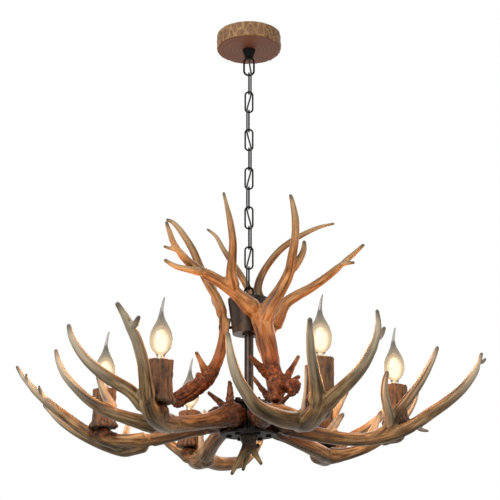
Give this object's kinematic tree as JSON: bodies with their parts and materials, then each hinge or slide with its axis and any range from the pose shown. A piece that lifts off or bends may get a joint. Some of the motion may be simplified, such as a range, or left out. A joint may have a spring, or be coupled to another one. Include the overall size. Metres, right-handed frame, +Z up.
{
  "type": "antler chandelier",
  "caption": "Rustic chandelier: forked antlers in a ring carry candle lamps, more antlers stand round the stem, and a chain hangs it from a round bark canopy.",
  "frame": {"origin": "on the ceiling, in the middle of the canopy and of its bracket's screws", "axes": "+Z up, the chain hangs along -Z, -Y faces the viewer of the picture, +X to the viewer's right"},
  "size_m": [0.7719, 0.6898, 0.7776],
  "materials": {
    "bark": "rough dry bark with ringed veins",
    "black_iron": "satin black bronze",
    "zinc_steel": "bright zinc plated",
    "cord_sleeve": "matt flexible sleeve",
    "terminal_plastic": "moulded, matt",
    "connector_plastic": "moulded, matt",
    "lower_antler": "cast resin antler, grained, satin",
    "upper_antler": "cast resin antler, warm tan, satin",
    "candle_bark": "dark rough bark",
    "socket_plastic": "moulded, matt",
    "finial_bark": "dark rough bark",
    "clear_glass": "clear, glossy",
    "bulb_cap_metal": "satin"
  },
  "bodies": {
    "ceiling": {"ceiling_bracket": "zinc_steel", "canopy": "bark", "terminal_block": "terminal_plastic", "stem_nut": "zinc_steel", "collar_nut": "black_iron", "canopy_loop": "black_iron", "supply_cord": "cord_sleeve"},
    "link_01": {"chain_link_01": "black_iron"},
    "link_02": {"chain_link_02": "black_iron"},
    "link_03": {"chain_link_03": "black_iron"},
    "link_04": {"chain_link_04": "black_iron"},
    "link_05": {"chain_link_05": "black_iron"},
    "link_06": {"chain_link_06": "black_iron"},
    "link_07": {"chain_link_07": "black_iron"},
    "link_08": {"chain_link_08": "black_iron"},
    "link_09": {"chain_link_09": "black_iron"},
    "link_10": {"chain_link_10": "black_iron"},
    "link_11": {"chain_link_11": "black_iron"},
    "fixture": {"fixture_loop": "black_iron", "wiring_cup": "black_iron", "cup_cover": "black_iron", "stem_tube": "black_iron", "wire_connectors": "connector_plastic", "hub_bottom_plate": "black_iron", "hub_top_plate": "black_iron", "lower_antler_bolts": "black_iron", "finial": "finial_bark", "finial_nut": "black_iron", "lower_antler_1": "lower_antler", "lower_antler_2": "lower_antler", "lower_antler_3": "lower_antler", "lower_antler_4": "lower_antler", "lower_antler_5": "lower_antler", "lower_antler_6": "lower_antler", "upper_antler_1": "upper_antler", "upper_antler_2": "upper_antler", "upper_antler_3": "upper_antler", "upper_antler_bolts": "black_iron", "candle_cup_1": "candle_bark", "candle_cup_2": "candle_bark", "candle_cup_3": "candle_bark", "candle_cup_4": "candle_bark", "candle_cup_5": "candle_bark", "candle_cup_6": "candle_bark", "lamp_sockets": "socket_plastic"},
    "bulb_1": {"bulb_cap_1": "bulb_cap_metal", "bulb_glass_1": "clear_glass"},
    "bulb_2": {"bulb_cap_2": "bulb_cap_metal", "bulb_glass_2": "clear_glass"},
    "bulb_3": {"bulb_cap_3": "bulb_cap_metal", "bulb_glass_3": "clear_glass"},
    "bulb_4": {"bulb_cap_4": "bulb_cap_metal", "bulb_glass_4": "clear_glass"},
    "bulb_5": {"bulb_cap_5": "bulb_cap_metal", "bulb_glass_5": "clear_glass"},
    "bulb_6": {"bulb_cap_6": "bulb_cap_metal", "bulb_glass_6": "clear_glass"}
  },
  "joints": [
    {"name": "link_01_swing", "type": "hinge", "parent": "ceiling", "child": "link_01", "pos_m": [0, 0, -0.07675], "axis": [1, 0, 0], "range_deg": [-8, 8], "deforming": ["supply_cord"]},
    {"name": "link_02_swing", "type": "hinge", "parent": "link_01", "child": "link_02", "pos_m": [0, 0, -0.1122], "axis": [0, 1, 0], "range_deg": [-8, 8], "deforming": ["supply_cord"]},
    {"name": "link_03_swing", "type": "hinge", "parent": "link_02", "child": "link_03", "pos_m": [0, 0, -0.1479], "axis": [1, 0, 0], "range_deg": [-8, 8], "deforming": ["supply_cord"]},
    {"name": "link_04_swing", "type": "hinge", "parent": "link_03", "child": "link_04", "pos_m": [0, 0, -0.1836], "axis": [0, 1, 0], "range_deg": [-8, 8], "deforming": ["supply_cord"]},
    {"name": "link_05_swing", "type": "hinge", "parent": "link_04", "child": "link_05", "pos_m": [0, 0, -0.2193], "axis": [1, 0, 0], "range_deg": [-8, 8], "deforming": ["supply_cord"]},
    {"name": "link_06_swing", "type": "hinge", "parent": "link_05", "child": "link_06", "pos_m": [0, 0, -0.255], "axis": [0, 1, 0], "range_deg": [-8, 8], "deforming": ["supply_cord"]},
    {"name": "link_07_swing", "type": "hinge", "parent": "link_06", "child": "link_07", "pos_m": [0, 0, -0.2907], "axis": [1, 0, 0], "range_deg": [-8, 8], "deforming": ["supply_cord"]},
    {"name": "link_08_swing", "type": "hinge", "parent": "link_07", "child": "link_08", "pos_m": [0, 0, -0.3264], "axis": [0, 1, 0], "range_deg": [-8, 8], "deforming": ["supply_cord"]},
    {"name": "link_09_swing", "type": "hinge", "parent": "link_08", "child": "link_09", "pos_m": [0, 0, -0.3621], "axis": [1, 0, 0], "range_deg": [-8, 8], "deforming": ["supply_cord"]},
    {"name": "link_10_swing", "type": "hinge", "parent": "link_09", "child": "link_10", "pos_m": [0, 0, -0.3978], "axis": [0, 1, 0], "range_deg": [-8, 8], "deforming": ["supply_cord"]},
    {"name": "link_11_swing", "type": "hinge", "parent": "link_10", "child": "link_11", "pos_m": [0, 0, -0.4335], "axis": [1, 0, 0], "range_deg": [-8, 8], "deforming": ["supply_cord"]},
    {"name": "fixture_swing", "type": "hinge", "parent": "link_11", "child": "fixture", "pos_m": [0, 0, -0.4692], "axis": [0, 1, 0], "range_deg": [-8, 8], "deforming": ["supply_cord"]},
    {"name": "bulb_1_removal", "type": "slide", "parent": "fixture", "child": "bulb_1", "axis": [0, 0, 1], "range_m": [0, 0.025]},
    {"name": "bulb_2_removal", "type": "slide", "parent": "fixture", "child": "bulb_2", "axis": [0, 0, 1], "range_m": [0, 0.025]},
    {"name": "bulb_3_removal", "type": "slide", "parent": "fixture", "child": "bulb_3", "axis": [0, 0, 1], "range_m": [0, 0.025]},
    {"name": "bulb_4_removal", "type": "slide", "parent": "fixture", "child": "bulb_4", "axis": [0, 0, 1], "range_m": [0, 0.025]},
    {"name": "bulb_5_removal", "type": "slide", "parent": "fixture", "child": "bulb_5", "axis": [0, 0, 1], "range_m": [0, 0.025]},
    {"name": "bulb_6_removal", "type": "slide", "parent": "fixture", "child": "bulb_6", "axis": [0, 0, 1], "range_m": [0, 0.025]}
  ]
}
